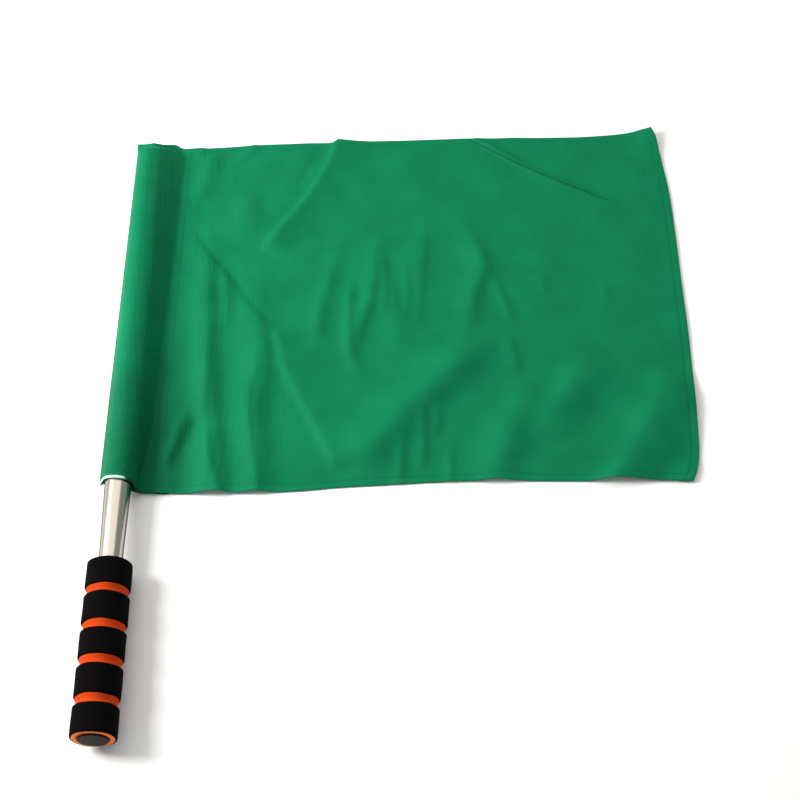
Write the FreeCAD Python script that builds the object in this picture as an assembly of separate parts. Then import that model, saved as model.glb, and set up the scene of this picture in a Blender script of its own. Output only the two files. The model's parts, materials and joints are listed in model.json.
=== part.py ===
"""Hand signal flag: a stainless tube with a banded foam grip, and a cloth flag that turns on it.

The flag lies on a table as it is laid down: the handle towards -Y, the cloth towards +X, +Z up.
The pole leans down from the grip to the flag's top end, because the grip is thicker than the tube.
While the pieces are made, X is 0 on the pole's axis, Y is 0 at the grip's butt and Z is 0 on the
table. At the end everything moves together, so that the origin is the middle of the bottom of the
box around the whole flag.
"""
import FreeCAD, Part
import math
import os

from FreeCAD import Placement, Rotation, Vector

# Pole, in millimetres
tube_radius = 9.0
handle_tube_radius = 7.7  # the tube narrows to this between the sleeve's mouth and the grip
tube_wall = 0.6
bare_tube = 60.0  # between the grip and the mouth of the sleeve
plug_stem = 12.0
plug_clearance = 0.05
top_head = 3.0
butt_head_radius = 9.85
butt_head = 1.2
butt_head_round = 0.4

# Foam grip
grip_radius = 15.0
grip_length = 118.0
groove_width = 6.0
groove_depth = 1.25
groove_round = 2.0
end_round = 1.0
foam_clearance = 0.02
ring_count = 5
# Each black band's length, from the butt to the tube, as a share of the mean band
band_shares = (1.015, 1.055, 0.94, 1.005, 0.985)

# Cloth
flag_width = 402.0
flag_drop = 298.0
flag_skew = 0.8  # degrees that the cloth lies turned on the pole
cloth = 0.5
stitch_inset = 4.5
thread = 0.4
thread_sink = 0.15  # how far a stitched run is pulled into the cloth

# Sleeve that holds the tube
sleeve_width = 38.0
sleeve_lap = 3.0
sleeve_gap = 0.4
fold_round = 0.4
fold_slack = 0.3  # at the sleeve's top
mouth_fold_height = 7.0
mouth_heel_radius = 3.5
mouth_heel_reach = 6.0
mouth_edge = 1.4  # width of the thread that binds the mouth
closing = 5.5  # length of the sewn top end of the sleeve
closing_slope = 5.0
closing_height = 10.5
closing_knee = 5.0
closing_gap = 0.3

# Folds of the laid cloth
fold_rise = 4.5
fold_breadth = 21.0
corner_lift = 4.0
corner_reach = 36.0
knot_pitch = 12.0
station_pitch = 18.0
overrun = 12.0

# Each fold: its rise and breadth as shares of fold_rise and fold_breadth, and the points that
# its crest passes, as shares of the flag's width and drop from the folded top corner
fold_shares = (
    (1.00, 1.00, ((0.135, 0.30), (0.143, 0.60), (0.152, 0.80), (0.160, 1.02))),
    (1.00, 1.00, ((0.235, 0.56), (0.225, 0.72), (0.240, 0.90), (0.255, 1.02))),
    (0.60, 1.10, ((0.140, 0.02), (0.115, 0.18))),
    (0.55, 1.20, ((0.275, 0.05), (0.180, 0.22))),
    (0.75, 0.80, ((0.372, -0.02), (0.325, 0.16), (0.238, 0.35))),
    (0.50, 0.80, ((0.300, 0.56), (0.345, 0.82), (0.410, 0.96))),
    (0.55, 0.80, ((0.358, 0.36), (0.342, 0.48), (0.350, 0.66))),
    (0.60, 0.80, ((0.445, 0.30), (0.405, 0.50), (0.395, 0.62), (0.425, 0.72))),
    (0.50, 0.80, ((0.532, 0.22), (0.528, 0.42), (0.515, 0.60))),
    (0.65, 0.80, ((0.615, 0.24), (0.647, 0.41), (0.625, 0.52), (0.620, 0.62))),
    (0.90, 1.10, ((0.420, 0.93), (0.480, 0.76), (0.560, 0.66), (0.630, 0.58))),
    (0.70, 0.90, ((0.680, 0.60), (0.692, 0.71), (0.682, 0.82), (0.650, 0.98))),
    (0.45, 1.10, ((0.820, 0.66), (0.765, 0.76), (0.745, 0.84))),
    (0.60, 1.10, ((0.945, 0.74), (0.915, 0.85), (0.880, 0.94))),
)

# The fly edge: shares of the drop, and of the width that the cloth reaches there
fly_shares = (
    (0.00, 0.966), (0.05, 0.980), (0.20, 0.992), (0.40, 0.999), (0.65, 1.003),
    (0.92, 1.002), (0.98, 0.995), (1.00, 0.978),
)

# Worked out from the sizes above
skew = math.radians(flag_skew)
core_radius = grip_radius - groove_depth
mouth_y = grip_length + bare_tube
top_y = mouth_y + flag_drop * math.cos(skew)
sleeve_bore = tube_radius + sleeve_gap
fold_x = -sleeve_bore - fold_slack - cloth
slope_end = closing + closing_slope
pole_reach = top_y - slope_end / math.cos(skew) + fold_x * math.tan(skew) - sleeve_gap
tube_length = pole_reach - top_head
lean = math.asin((grip_radius - tube_radius - cloth - sleeve_gap) / (tube_length - grip_length))
butt_height = (
    (grip_length - groove_round) * math.sin(lean)
    + (grip_radius - groove_round) * math.cos(lean)
    + groove_round
)
panel_start = sleeve_width + sleeve_lap
smallest = 1e-7


def arc(start, middle, end):
    """A circular edge through three points, or a straight one where they are in line."""
    if (middle - start).cross(end - middle).Length < smallest:
        return Part.LineSegment(start, end).toShape()
    return Part.Arc(start, middle, end).toShape()


def line(start, end):
    return Part.LineSegment(start, end).toShape()


def turned(edges):
    """A solid of revolution about the pole's axis, from edges in the X-Y plane."""
    face = Part.Face(Part.Wire(edges))
    return face.revolve(Vector(0, 0, 0), Vector(0, 1, 0), 360)


def turned_polygon(points):
    corners = [Vector(x, y, 0) for x, y in points]
    return turned([line(a, b) for a, b in zip(corners, corners[1:] + corners[:1])])


def on_pole(shape):
    """Lean a piece made along +Y the way the pole lies, with the grip on the table."""
    placed = shape.copy()
    placed.Placement = Placement(
        Vector(0, 0, butt_height), Rotation(Vector(1, 0, 0), -math.degrees(lean))
    )
    return placed


def axis_height(y):
    return butt_height - y * math.tan(lean)


def make_tube():
    """A thin tube whose bare stretch is a cone, from the narrow handle end to the wide rest."""
    outer = [
        (handle_tube_radius, 0), (handle_tube_radius, grip_length),
        (tube_radius, mouth_y), (tube_radius, tube_length),
    ]
    inner = [(radius - tube_wall, y) for radius, y in reversed(outer)]
    return turned_polygon(outer + inner)


def make_top_plug():
    """A stem inside the tube and a domed head that keeps the tube's rim off the cloth."""
    stem = tube_radius - tube_wall - plug_clearance
    foot, rim, crown = tube_length - plug_stem, tube_length, tube_length + top_head
    shoulder = Vector(tube_radius, rim, 0)
    ball = (tube_radius ** 2 + top_head ** 2) / (2 * top_head)
    half = math.asin(tube_radius / ball) / 2
    dome = Vector(ball * math.sin(half), crown - ball * (1 - math.cos(half)), 0)
    points = [Vector(0, foot, 0), Vector(stem, foot, 0), Vector(stem, rim, 0), shoulder]
    edges = [line(a, b) for a, b in zip(points, points[1:])]
    edges.append(arc(shoulder, dome, Vector(0, crown, 0)))
    edges.append(line(Vector(0, crown, 0), points[0]))
    return turned(edges)


def make_butt_plug():
    """A stem inside the tube and a wide head that covers the tube's end and holds the foam."""
    stem = handle_tube_radius - tube_wall - plug_clearance
    wide, back, fillet = butt_head_radius, -butt_head, butt_head_round
    bend = fillet * (1 - math.cos(math.pi / 4))
    points = [
        Vector(wide - fillet, back, 0), Vector(0, back, 0), Vector(0, plug_stem, 0),
        Vector(stem, plug_stem, 0), Vector(stem, 0, 0), Vector(wide, 0, 0),
        Vector(wide, back + fillet, 0),
    ]
    edges = [line(a, b) for a, b in zip(points, points[1:])]
    edges.append(arc(points[-1], Vector(wide - bend, back + bend, 0), points[0]))
    return turned(edges)


def make_grip_core():
    bore = handle_tube_radius + foam_clearance
    return turned_polygon(
        [(bore, 0), (core_radius, 0), (core_radius, grip_length), (bore, grip_length)]
    )


def shoulder_points(end, inward, radius):
    """The rounded corner of a black band at one end: points on its face, its bend and its top."""
    depth = min(radius, groove_depth - foam_clearance)
    angle = math.acos(1 - depth / radius)
    centre_r = grip_radius - radius
    centre_y = end + inward * radius * math.sin(angle)
    return [
        Vector(centre_r + radius * math.cos(a), centre_y - inward * radius * math.sin(a), 0)
        for a in (angle, angle / 2, 0)
    ]


def make_ring(start, end, is_last):
    """One black band around the core, with rounded shoulders where the grooves are cut."""
    bore = core_radius + foam_clearance
    low = shoulder_points(start, 1, end_round if is_last else groove_round)
    high = shoulder_points(end, -1, groove_round)
    inner_low, inner_high = Vector(bore, start, 0), Vector(bore, end, 0)
    edges = [arc(*low), line(low[2], high[2]), arc(*reversed(high))]
    if (high[0] - inner_high).Length > foam_clearance:
        edges.append(line(high[0], inner_high))
    else:
        inner_high = high[0]
    if (low[0] - inner_low).Length > foam_clearance:
        edges += [line(inner_high, inner_low), line(inner_low, low[0])]
    else:
        edges.append(line(inner_high, low[0]))
    return turned(edges)


def make_rings():
    """The five bands, from the butt to the tube, with equal grooves between them."""
    mean = (grip_length - groove_width * (ring_count - 1)) / ring_count
    scale = ring_count / sum(band_shares)
    rings, start = [], 0
    for index in range(ring_count):
        end = start + mean * scale * band_shares[index]
        rings.append(make_ring(start, end, index == 0))
        start = end + groove_width
    return rings


def laid(shape):
    """Turn the flag, made with its folded edge along -Y from zero, to where it lies."""
    placed = shape.copy()
    placed.Placement = Placement(
        Vector(fold_x, top_y, 0), Rotation(Vector(0, 0, 1), -flag_skew)
    )
    return placed


def mix(start, end, share):
    return start + (end - start) * share


def distance_to_run(u, v, start, end):
    run_u, run_v = end[0] - start[0], end[1] - start[1]
    along = ((u - start[0]) * run_u + (v - start[1]) * run_v) / (run_u ** 2 + run_v ** 2)
    along = min(1, max(0, along))
    return math.hypot(u - start[0] - along * run_u, v - start[1] - along * run_v)


def fold_height(u, v):
    """The cloth's underside over the table, u from the folded edge and v down from the top.

    Each fold rises as the cube of one minus the square of the distance from its crest, as a
    share of its breadth, and they add up. The corner at the top of the fly edge curls up too.
    """
    total = corner_lift * max(0, 1 - math.hypot(u - flag_width, v) / corner_reach) ** 2
    for rise, breadth, crest in fold_shares:
        reach = fold_breadth * breadth
        points = [(flag_width * a, flag_drop * b) for a, b in crest]
        runs = zip(points, points[1:])
        nearest = min(distance_to_run(u, v, start, end) for start, end in runs)
        total += fold_rise * rise * max(0, 1 - (nearest / reach) ** 2) ** 3
    return total


def axis_place(v):
    """How far the pole's axis is from the folded edge at one place, and how high."""
    y = top_y - v / math.cos(skew) + fold_x * math.tan(skew)
    return -fold_x / math.cos(skew) + v * math.tan(skew), butt_height - y * math.tan(lean)


def sleeve_rounds(v):
    """The rounds that the sleeve's cloth wraps at one place down it, as (u, z, inner radius).

    They are the seam's tip, the bend over the tube, the folded edge and the heel on the table.
    Near the top end they close to a flat double layer, whose heel bends the other way.
    """
    down = v / flag_drop
    shut = min(1, max(0, (slope_end - v) / closing_slope))
    axis_u, axis_z = axis_place(v)
    heel = mix(sleeve_bore, mouth_heel_radius, down)
    edge_z = mix(axis_place(0)[1], mouth_fold_height, down)
    knee_u, knee_heel = axis_u + closing_knee, -cloth - closing_gap
    knee_low = closing_height - closing_gap + knee_heel
    tip = (sleeve_width, cloth, 0)
    return [
        tip,
        (mix(axis_u, knee_u, shut), mix(axis_z, closing_height, shut),
         mix(sleeve_bore, closing_gap, shut)),
        (cloth + fold_round, mix(edge_z, closing_height, shut),
         mix(fold_round, closing_gap, shut)),
        (mix(axis_u - mouth_heel_reach * down, knee_u, shut),
         mix(cloth + heel, knee_low, shut), mix(heel, knee_heel, shut)),
        tip,
    ]


def sleeve_edges(v, offset, last=4):
    """The sleeve's outline at one place: tangent lines and arcs round its rounds, at an offset."""
    rounds = sleeve_rounds(v)
    normals = []
    for (ua, za, ra), (ub, zb, rb) in zip(rounds, rounds[1:]):
        run = math.hypot(ub - ua, zb - za)
        along_u, along_z = (ub - ua) / run, (zb - za) / run
        inward = (ra - rb) / run
        outward = math.sqrt(1 - inward ** 2)
        normals.append(
            (inward * along_u + outward * along_z, inward * along_z - outward * along_u)
        )

    def touch(index, normal):
        u, z, radius = rounds[index]
        return Vector(
            u + (radius + offset) * normal[0], -v, z + (radius + offset) * normal[1]
        )

    def halfway(first, second):
        u, z = first[0] + second[0], first[1] + second[1]
        size = math.hypot(u, z)
        return (u / size, z / size)

    edges = [line(touch(0, normals[0]), touch(1, normals[0]))]
    for index in range(1, last):
        before, after = normals[index - 1], normals[index]
        middle = touch(index, halfway(before, after))
        edges.append(arc(touch(index, before), middle, touch(index, after)))
        edges.append(line(touch(index, after), touch(index + 1, after)))
    return edges


def ends_of(edges):
    """The free ends of a run of edges."""
    return edges[0].Vertexes[0].Point, edges[-1].Vertexes[-1].Point


def fly_reach(v):
    """How far the cloth reaches from its folded edge at one place down it."""
    down = min(1, max(0, v / flag_drop))
    for (low, a), (high, b) in zip(fly_shares, fly_shares[1:]):
        if down <= high:
            return flag_width * mix(a, b, (down - low) / (high - low))


def panel_points(v, height):
    """Points of the laid cloth from the sleeve's seam to the fly edge, at a height on it.

    Every second point is the middle of an arc. It is raised where that arc would dip under the
    table: to the square of half the difference between the square roots of its neighbours.
    """
    steps = 2 * round((flag_width - panel_start) / knot_pitch)
    places = [mix(panel_start, fly_reach(v), step / steps) for step in range(steps + 1)]
    rises = [fold_height(u, v) for u in places]
    for i in range(1, steps, 2):
        least = ((math.sqrt(rises[i + 1]) - math.sqrt(rises[i - 1])) / 2) ** 2
        rises[i] = max(rises[i], least)
    return [Vector(u, -v, rise + height) for u, rise in zip(places, rises)]


def arcs_through(points):
    return [arc(*points[i:i + 3]) for i in range(0, len(points) - 2, 2)]


def cloth_wire(v):
    """The section of the cloth at one place down it, with its sleeve filled."""
    above, below = panel_points(v, cloth)[::-1], panel_points(v, 0)
    sleeve = sleeve_edges(v, cloth)
    first, last = ends_of(sleeve)
    return Part.Wire(
        arcs_through(above) + [line(above[-1], first)] + sleeve + [line(last, below[0])]
        + arcs_through(below) + [line(below[-1], above[0])]
    )


def hollow_wire(v):
    return Part.Wire(sleeve_edges(v, 0))


def sleeve_stations():
    """Places down the open sleeve, from where its end starts to close to its mouth."""
    corner = flag_drop * fly_shares[-2][0]
    count = round((corner - slope_end) / station_pitch)
    return [mix(slope_end, corner, index / count) for index in range(count + 1)]


def make_cloth():
    """The sleeve and the laid cloth, one piece: ruled between its sections."""
    places = [0, closing] + sleeve_stations() + [flag_drop]
    block = Part.makeLoft([cloth_wire(v) for v in places], True, True)
    places = [closing] + sleeve_stations() + [flag_drop + overrun]
    hollow = Part.makeLoft([hollow_wire(v) for v in places], True, True)
    return block.cut(hollow)


def strip(rows):
    """A thin ruled solid through four-cornered sections."""
    wires = [Part.Wire([line(a, b) for a, b in zip(row, row[1:] + row[:1])]) for row in rows]
    return Part.makeLoft(wires, True, True)


def thread_down(places):
    """A run of thread down the cloth, through places (u, v, z) that it lies on."""
    rows = []
    for u, v, z in places:
        low, high = z - thread_sink, z - thread_sink + thread
        rows.append([
            Vector(u - thread / 2, -v, low), Vector(u + thread / 2, -v, low),
            Vector(u + thread / 2, -v, high), Vector(u - thread / 2, -v, high),
        ])
    return strip(rows)


def thread_across(v):
    """A run of thread from the sleeve's seam to the fly edge, at one place down the cloth."""
    rows = []
    for point in panel_points(v, cloth - thread_sink):
        if point.x <= fly_reach(v) - stitch_inset:
            high = point + Vector(0, 0, thread)
            side = Vector(0, thread / 2, 0)
            rows.append([point - side, point + side, high + side, high - side])
    return strip(rows)


def make_fly_thread():
    """The run down the fly edge's hem."""
    places = []
    for v in [closing] + sleeve_stations():
        u = fly_reach(v) - stitch_inset
        places.append((u, v, fold_height(u, v) + cloth))
    return thread_down(places)


def make_seam_thread():
    """The seam that closes the sleeve, in the middle of its lap."""
    rows = []
    for v in [closing] + sleeve_stations():
        lap = ends_of(sleeve_edges(v, cloth))[0]
        edge = panel_points(v, cloth)[0]
        rows.append(((lap.x + edge.x) / 2, v, (lap.z + edge.z) / 2))
    return thread_down(rows)


def make_end_thread():
    """The run that closes the sleeve's top end: a strip on the outside of its double layer."""
    v = stitch_inset
    inner = sleeve_edges(v, cloth - thread_sink, last=2)[:-1]
    outer = sleeve_edges(v, cloth - thread_sink + thread, last=2)[:-1]
    (inner_first, inner_last), (outer_first, outer_last) = ends_of(inner), ends_of(outer)
    face = Part.Face(Part.Wire(
        outer + [line(outer_last, inner_last)] + inner[::-1] + [line(inner_first, outer_first)]
    ))
    return face.extrude(Vector(0, thread, 0))


def make_mouth_thread():
    """The thread that binds the sleeve's lower edge: a band as thick as the cloth."""
    outer = sleeve_edges(flag_drop, cloth)
    first, last = ends_of(outer)
    ring = Part.Face(Part.Wire(outer + [line(last, first)]))
    ring = ring.cut(Part.Face(hollow_wire(flag_drop)))
    return ring.extrude(Vector(0, -mouth_edge, 0))


def only_solid(shape):
    return shape.Solids[0] if len(shape.Solids) == 1 else shape


def make_parts():
    pole = {
        "pole_tube": make_tube(),
        "top_plug": make_top_plug(),
        "butt_plug": make_butt_plug(),
        "grip_core": make_grip_core(),
    }
    for number, ring in enumerate(make_rings(), 1):
        pole["grip_ring_%d" % number] = ring
    flag = {
        "flag_cloth": make_cloth(),
        "sleeve_seam_thread": make_seam_thread(),
        "sleeve_end_thread": make_end_thread(),
        "mouth_binding": make_mouth_thread(),
        "top_hem_thread": thread_across(stitch_inset),
        "bottom_hem_thread": thread_across(flag_drop - stitch_inset),
        "fly_hem_thread": make_fly_thread(),
    }
    parts = {name: on_pole(shape) for name, shape in pole.items()}
    parts.update({name: laid(shape) for name, shape in flag.items()})
    return {name: only_solid(shape) for name, shape in parts.items()}


def main():
    parts = make_parts()
    box = Part.makeCompound(list(parts.values())).optimalBoundingBox(False, False)
    origin = Vector((box.XMin + box.XMax) / 2, (box.YMin + box.YMax) / 2, box.ZMin)
    os.makedirs("parts", exist_ok=True)
    for name, shape in parts.items():
        shape.translate(-origin)
        shape.exportStep("parts/%s.step" % name)
        print(name, len(shape.Solids), shape.isValid(), round(shape.Volume, 1))
    print("box", box)
    print("origin", origin, "butt height", butt_height, "lean", math.degrees(lean))


main()
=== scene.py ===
# %% [markdown]
# # A hand signal flag
#
# A green cloth with a sleeve along one side, a steel tube in the sleeve, and a grip of black and
# orange foam on the tube's other end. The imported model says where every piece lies. This script
# loads it as a fixed frame and dresses it: each piece below is a surface worked out from a
# formula, with a material named for what the real one is made of.

# %% Load the frame
import json
import math

import bmesh
import bpy
import numpy as np
from mathutils import Matrix, Vector


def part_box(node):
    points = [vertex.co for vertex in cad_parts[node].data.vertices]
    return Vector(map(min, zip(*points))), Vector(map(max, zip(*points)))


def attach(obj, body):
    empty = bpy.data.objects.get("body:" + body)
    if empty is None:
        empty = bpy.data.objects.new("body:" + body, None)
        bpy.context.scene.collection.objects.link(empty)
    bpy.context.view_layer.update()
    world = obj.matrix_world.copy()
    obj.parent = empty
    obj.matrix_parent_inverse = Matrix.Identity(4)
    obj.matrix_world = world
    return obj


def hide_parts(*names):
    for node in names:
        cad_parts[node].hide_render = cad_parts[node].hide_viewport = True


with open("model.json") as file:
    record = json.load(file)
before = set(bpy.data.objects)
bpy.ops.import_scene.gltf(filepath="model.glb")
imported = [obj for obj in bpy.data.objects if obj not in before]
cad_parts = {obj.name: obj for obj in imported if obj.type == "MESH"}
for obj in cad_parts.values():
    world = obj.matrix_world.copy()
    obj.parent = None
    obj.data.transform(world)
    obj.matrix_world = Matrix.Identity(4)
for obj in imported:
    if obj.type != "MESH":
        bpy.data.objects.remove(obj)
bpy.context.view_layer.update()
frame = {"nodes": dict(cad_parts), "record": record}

mm = 0.001
print("the frame's nodes:", sorted(frame["nodes"]))

# %% [markdown]
# ## Where the pole lies
#
# The record's mount on the butt face gives one point of the pole's axis and its direction. Every
# round piece below is a profile carried round this axis, so a place on the pole is three numbers:
# how far from the butt, how far from the axis, and the angle. Sizes are in millimetres until the
# last step of each surface.

# %% The pole's axis
butt_head = 1.2
butt_mount = next(m for m in frame["record"]["mounts"] if m["name"] == "butt_face")
along = -Vector(butt_mount["axis"]).normalized()
across = Vector((1, 0, 0))
up = across.cross(along)
butt = Vector(butt_mount["pos_m"]) + along * butt_head * mm


def pole_points(distance, radius, angle):
    """Points at a distance along the axis from the butt, plus a radius turned by an angle."""
    side = np.multiply.outer(np.cos(angle) * radius, across)
    rise = np.multiply.outer(np.sin(angle) * radius, up)
    return np.array(butt) + mm * (np.multiply.outer(distance, along) + side + rise)


print("butt", tuple(butt), "direction", tuple(along))

# %% [markdown]
# ## The camera
#
# The photograph looks down on the flag from the handle's side. These angles, this distance and
# this lens put the grip's two ends, the tube's edges and the cloth's corners where the photograph
# has them, so they are the first thing to settle.

# %% Camera
picture_side = 800
focal_pixels = 1638.9
view_elevation, view_azimuth, view_roll = map(math.radians, (59.14, 6.38, -7.69))
view_distance = 1134.9 * mm
view_target = Vector((1.35, 6.31, 0)) * mm

camera_data = bpy.data.cameras.new("camera")
camera_data.sensor_width = 36
camera_data.lens = focal_pixels * camera_data.sensor_width / picture_side
camera = bpy.data.objects.new("camera", camera_data)
bpy.context.scene.collection.objects.link(camera)
backward = Vector((
    math.sin(view_azimuth) * math.cos(view_elevation),
    -math.cos(view_azimuth) * math.cos(view_elevation),
    math.sin(view_elevation),
))
level_right = Vector((0, 0, 1)).cross(backward).normalized()
level_up = backward.cross(level_right)
right = level_right * math.cos(view_roll) + level_up * math.sin(view_roll)
upward = level_up * math.cos(view_roll) - level_right * math.sin(view_roll)
camera.matrix_world = Matrix.Translation(view_target + backward * view_distance) @ Matrix(
    (right, upward, backward)
).transposed().to_4x4()
bpy.context.scene.camera = camera
print("lens", round(camera_data.lens, 2), "mm")

# %% [markdown]
# ## Two helpers for meshes
#
# A grid of points becomes a mesh of quads. The corner numbers are worked out as whole arrays, and
# `foreach_set` hands them over in one go, which is much quicker than a Python loop. A grid may
# close on itself in either direction, as a ring does.

# %% Mesh helpers
def grid_faces(rows, columns, wrap_rows=False, wrap_columns=False):
    """Corner numbers of a grid's quads. A wrapped direction joins its last line to its first."""
    row = np.arange(rows if wrap_rows else rows - 1)[:, None]
    column = np.arange(columns if wrap_columns else columns - 1)[None, :]
    next_row, next_column = (row + 1) % rows, (column + 1) % columns
    corners = [
        row * columns + column, next_row * columns + column,
        next_row * columns + next_column, row * columns + next_column,
    ]
    return np.stack(np.broadcast_arrays(*corners), -1).reshape(-1, 4)


def mix(start, end, share):
    """The value a share of the way from start to end."""
    return start + (end - start) * share


def mesh_object(name, points, faces, flat_places=None):
    """An object from points and quads, smooth shaded, with flat_places in metres as its UV map."""
    mesh = bpy.data.meshes.new(name)
    mesh.vertices.add(len(points))
    mesh.vertices.foreach_set("co", np.ascontiguousarray(points, np.float32).ravel())
    mesh.loops.add(faces.size)
    mesh.loops.foreach_set("vertex_index", faces.ravel().astype(np.int32))
    mesh.polygons.add(len(faces))
    mesh.polygons.foreach_set("loop_start", np.arange(0, faces.size, 4, dtype=np.int32))
    if flat_places is not None:
        layer = mesh.uv_layers.new(name="cut")
        layer.data.foreach_set("uv", flat_places[faces.ravel()].astype(np.float32).ravel())
    mesh.update(calc_edges=True)
    mesh.validate()
    mesh.shade_smooth()
    piece = bpy.data.objects.new(name, mesh)
    bpy.context.scene.collection.objects.link(piece)
    return piece


def close_mesh(piece):
    """Merge points that coincide, as at a pole or a seam, and turn every face outwards."""
    shape = bmesh.new()
    shape.from_mesh(piece.data)
    bmesh.ops.remove_doubles(shape, verts=shape.verts, dist=0.001 * mm)
    bmesh.ops.dissolve_degenerate(shape, edges=shape.edges, dist=0.001 * mm)
    bmesh.ops.recalc_face_normals(shape, faces=shape.faces)
    shape.to_mesh(piece.data)
    shape.free()
    print(piece.name, len(piece.data.polygons), "faces")
    return piece


# %% [markdown]
# ## Colours and nodes
#
# Colours are written as the sRGB hex values read off a photograph, and one function turns them into
# the linear values that the shader works in. One small function adds a node, sets it and links it,
# and a few others name the kinds that come back in every material.

# %% Colour and node helpers
def linear(hex_colour):
    """sRGB hex to linear RGBA: below 0.04045 a straight line, above it a power of 2.4."""
    shares = np.array([int(hex_colour[i:i + 2], 16) for i in (0, 2, 4)]) / 255
    low, high = shares / 12.92, ((shares + 0.055) / 1.055) ** 2.4
    return (*np.where(shares <= 0.04045, low, high).tolist(), 1.0)


def node(tree, kind, inputs=None, **settings):
    """Add a shader node. Inputs are named or numbered; a socket is linked, a value is set."""
    made = tree.nodes.new("ShaderNode" + kind)
    for name, value in settings.items():
        setattr(made, name, value)
    for name, value in (inputs or {}).items():
        if isinstance(value, bpy.types.NodeSocket):
            tree.links.new(value, made.inputs[name])
        else:
            made.inputs[name].default_value = value
    return made


def new_material(name, shader):
    """A material whose Principled shader starts from the given values."""
    material = bpy.data.materials.new(name)
    material.use_nodes = True
    tree = material.node_tree
    tree.nodes.clear()
    surface = node(tree, "BsdfPrincipled", shader)
    node(tree, "OutputMaterial", {"Surface": surface.outputs[0]})
    return material, tree, surface


def ramp(tree, source, stops):
    """A colour ramp: stops are (place, hex colour)."""
    made = node(tree, "ValToRGB", {0: source})
    while len(made.color_ramp.elements) < len(stops):
        made.color_ramp.elements.new(0.5)
    for element, (place, colour) in zip(made.color_ramp.elements, stops):
        element.position, element.color = place, linear(colour)
    return made.outputs[0]


def calculate(tree, operation, *values):
    """One Math node on values or sockets."""
    return node(tree, "Math", dict(enumerate(values)), operation=operation).outputs[0]


def ranged(tree, source, start, end, low=0.0, high=1.0, way="LINEAR"):
    """low where the source is at start, high where it is at end, and a line or an S between."""
    stops = {0: source, 1: start, 2: end, 3: low, 4: high}
    return node(tree, "MapRange", stops, interpolation_type=way).outputs[0]


def noise(tree, vector, size, detail):
    """Noise with lumps of a size in metres, or in the vector's own unit."""
    inputs = {"Vector": vector, "Scale": 1 / size, "Detail": detail}
    return node(tree, "TexNoise", inputs).outputs[0]


def own_place(tree):
    """The place in metres on the piece itself, which doesn't move when the piece turns."""
    return node(tree, "TexCoord").outputs["Object"]


def roughen(tree, surface, height, strength, depth, **settings):
    """A bump of a depth in millimetres, on top of the bumps that the shader already has."""
    normal = surface.inputs["Normal"]
    inputs = {"Height": height, "Strength": strength, "Distance": depth * mm}
    if normal.links:
        inputs["Normal"] = normal.links[0].from_socket
    tree.links.new(node(tree, "Bump", inputs, **settings).outputs[0], normal)


# %% [markdown]
# ## Stainless tube
#
# The pole is thin stainless tube, drawn and polished along its length. Such a finish mirrors the
# room softly across the tube and smears it along the tube, so the light shows as long pale and
# dark stripes. A metal keeps the shader's default IOR. Fine lines along the tube come from a
# noise that is stretched along the axis.

# %% Stainless material
polish_line, polish_run = 0.25, 60.0  # millimetres across and along a polishing line
polish_rough = (0.21, 0.27)  # the roughness between the lines and on them
stainless, tree, surface = new_material("polished_stainless_tube", {
    "Base Color": linear("BAB4AA"), "Metallic": 1.0, "Roughness": 0.24,
    "Specular Tint": linear("5A544C"),
})
stretched = node(tree, "Mapping", {
    "Vector": own_place(tree),
    "Rotation": (math.asin(along.z), 0, 0),
    "Scale": (polish_line * mm, polish_run * mm, polish_line * mm),
}, vector_type="TEXTURE")
lines = noise(tree, stretched.outputs[0], 1.0, 3.0)
tree.links.new(ranged(tree, lines, 0.3, 0.7, *polish_rough), surface.inputs["Roughness"])
roughen(tree, surface, lines, strength=0.05, depth=0.02)

# %% [markdown]
# ## Moulded plastic
#
# The plug in the butt is a soft dark grey moulding. Spark-eroded moulds leave a fine even grain,
# which a small noise bump gives.

# %% Plug material
mould_grain = 0.35  # millimetres
plug_plastic, tree, surface = new_material("moulded_grey_plastic", {
    "Base Color": linear("211813"), "Roughness": 0.6, "IOR": 1.49,
    "Specular IOR Level": 0.1,
})
grain = noise(tree, own_place(tree), mould_grain * mm, 2.0)
roughen(tree, surface, grain, strength=0.3, depth=0.05)

# %% [markdown]
# ## Foam
#
# The grip is closed-cell foam in two colours: a black layer glued round an orange one, and ground
# round on a stone. Grinding opens the cells, so the skin is matt and pitted, and black foam gives
# back hardly any light. The orange shows in the grooves, where the grinder cut the black away, and
# on the cut end, where the open cells scatter light and look paler.

# %% Foam materials
foam_cell = 0.45  # real cells are about 0.2 mm; drawn twice as coarse, so that they show
foam_patch, cell_lift = 8.0, 0.15  # patches of paler and darker cells, and a lift for all


def foam_material(name, dark, light, roughness, specular, pit_depth):
    """Foam: cells from a Voronoi pattern, in patches of paler and darker tone, with painted shade
    that makes their sunken floors darker than their walls.
    """
    material, tree, surface = new_material(name, {
        "Roughness": roughness, "IOR": 1.45, "Specular IOR Level": specular,
    })
    place = own_place(tree)
    cells = node(tree, "TexVoronoi", {"Vector": place, "Scale": 1 / (foam_cell * mm)})
    from_middle = cells.outputs["Distance"]
    patches = noise(tree, place, foam_patch * mm, 3.0)
    mixed = calculate(tree, "MULTIPLY_ADD", from_middle, patches, cell_lift)
    # painted shade: the sunken cell floors get the dark colour, the raised walls the light one
    tree.links.new(ramp(tree, mixed, [(0.1, light), (0.6, dark)]), surface.inputs["Base Color"])
    roughen(tree, surface, from_middle, strength=0.5, depth=pit_depth, invert=True)
    return material


black_foam = foam_material("ground_black_foam", "060505", "0C0A0A", 0.95, 0.04, 0.12)
orange_foam = foam_material("ground_orange_foam", "B6370C", "C24214", 0.8, 0.06, 0.08)
cut_foam = foam_material("cut_orange_foam", "DC7A44", "E88C54", 0.9, 0.1, 0.10)

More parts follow.
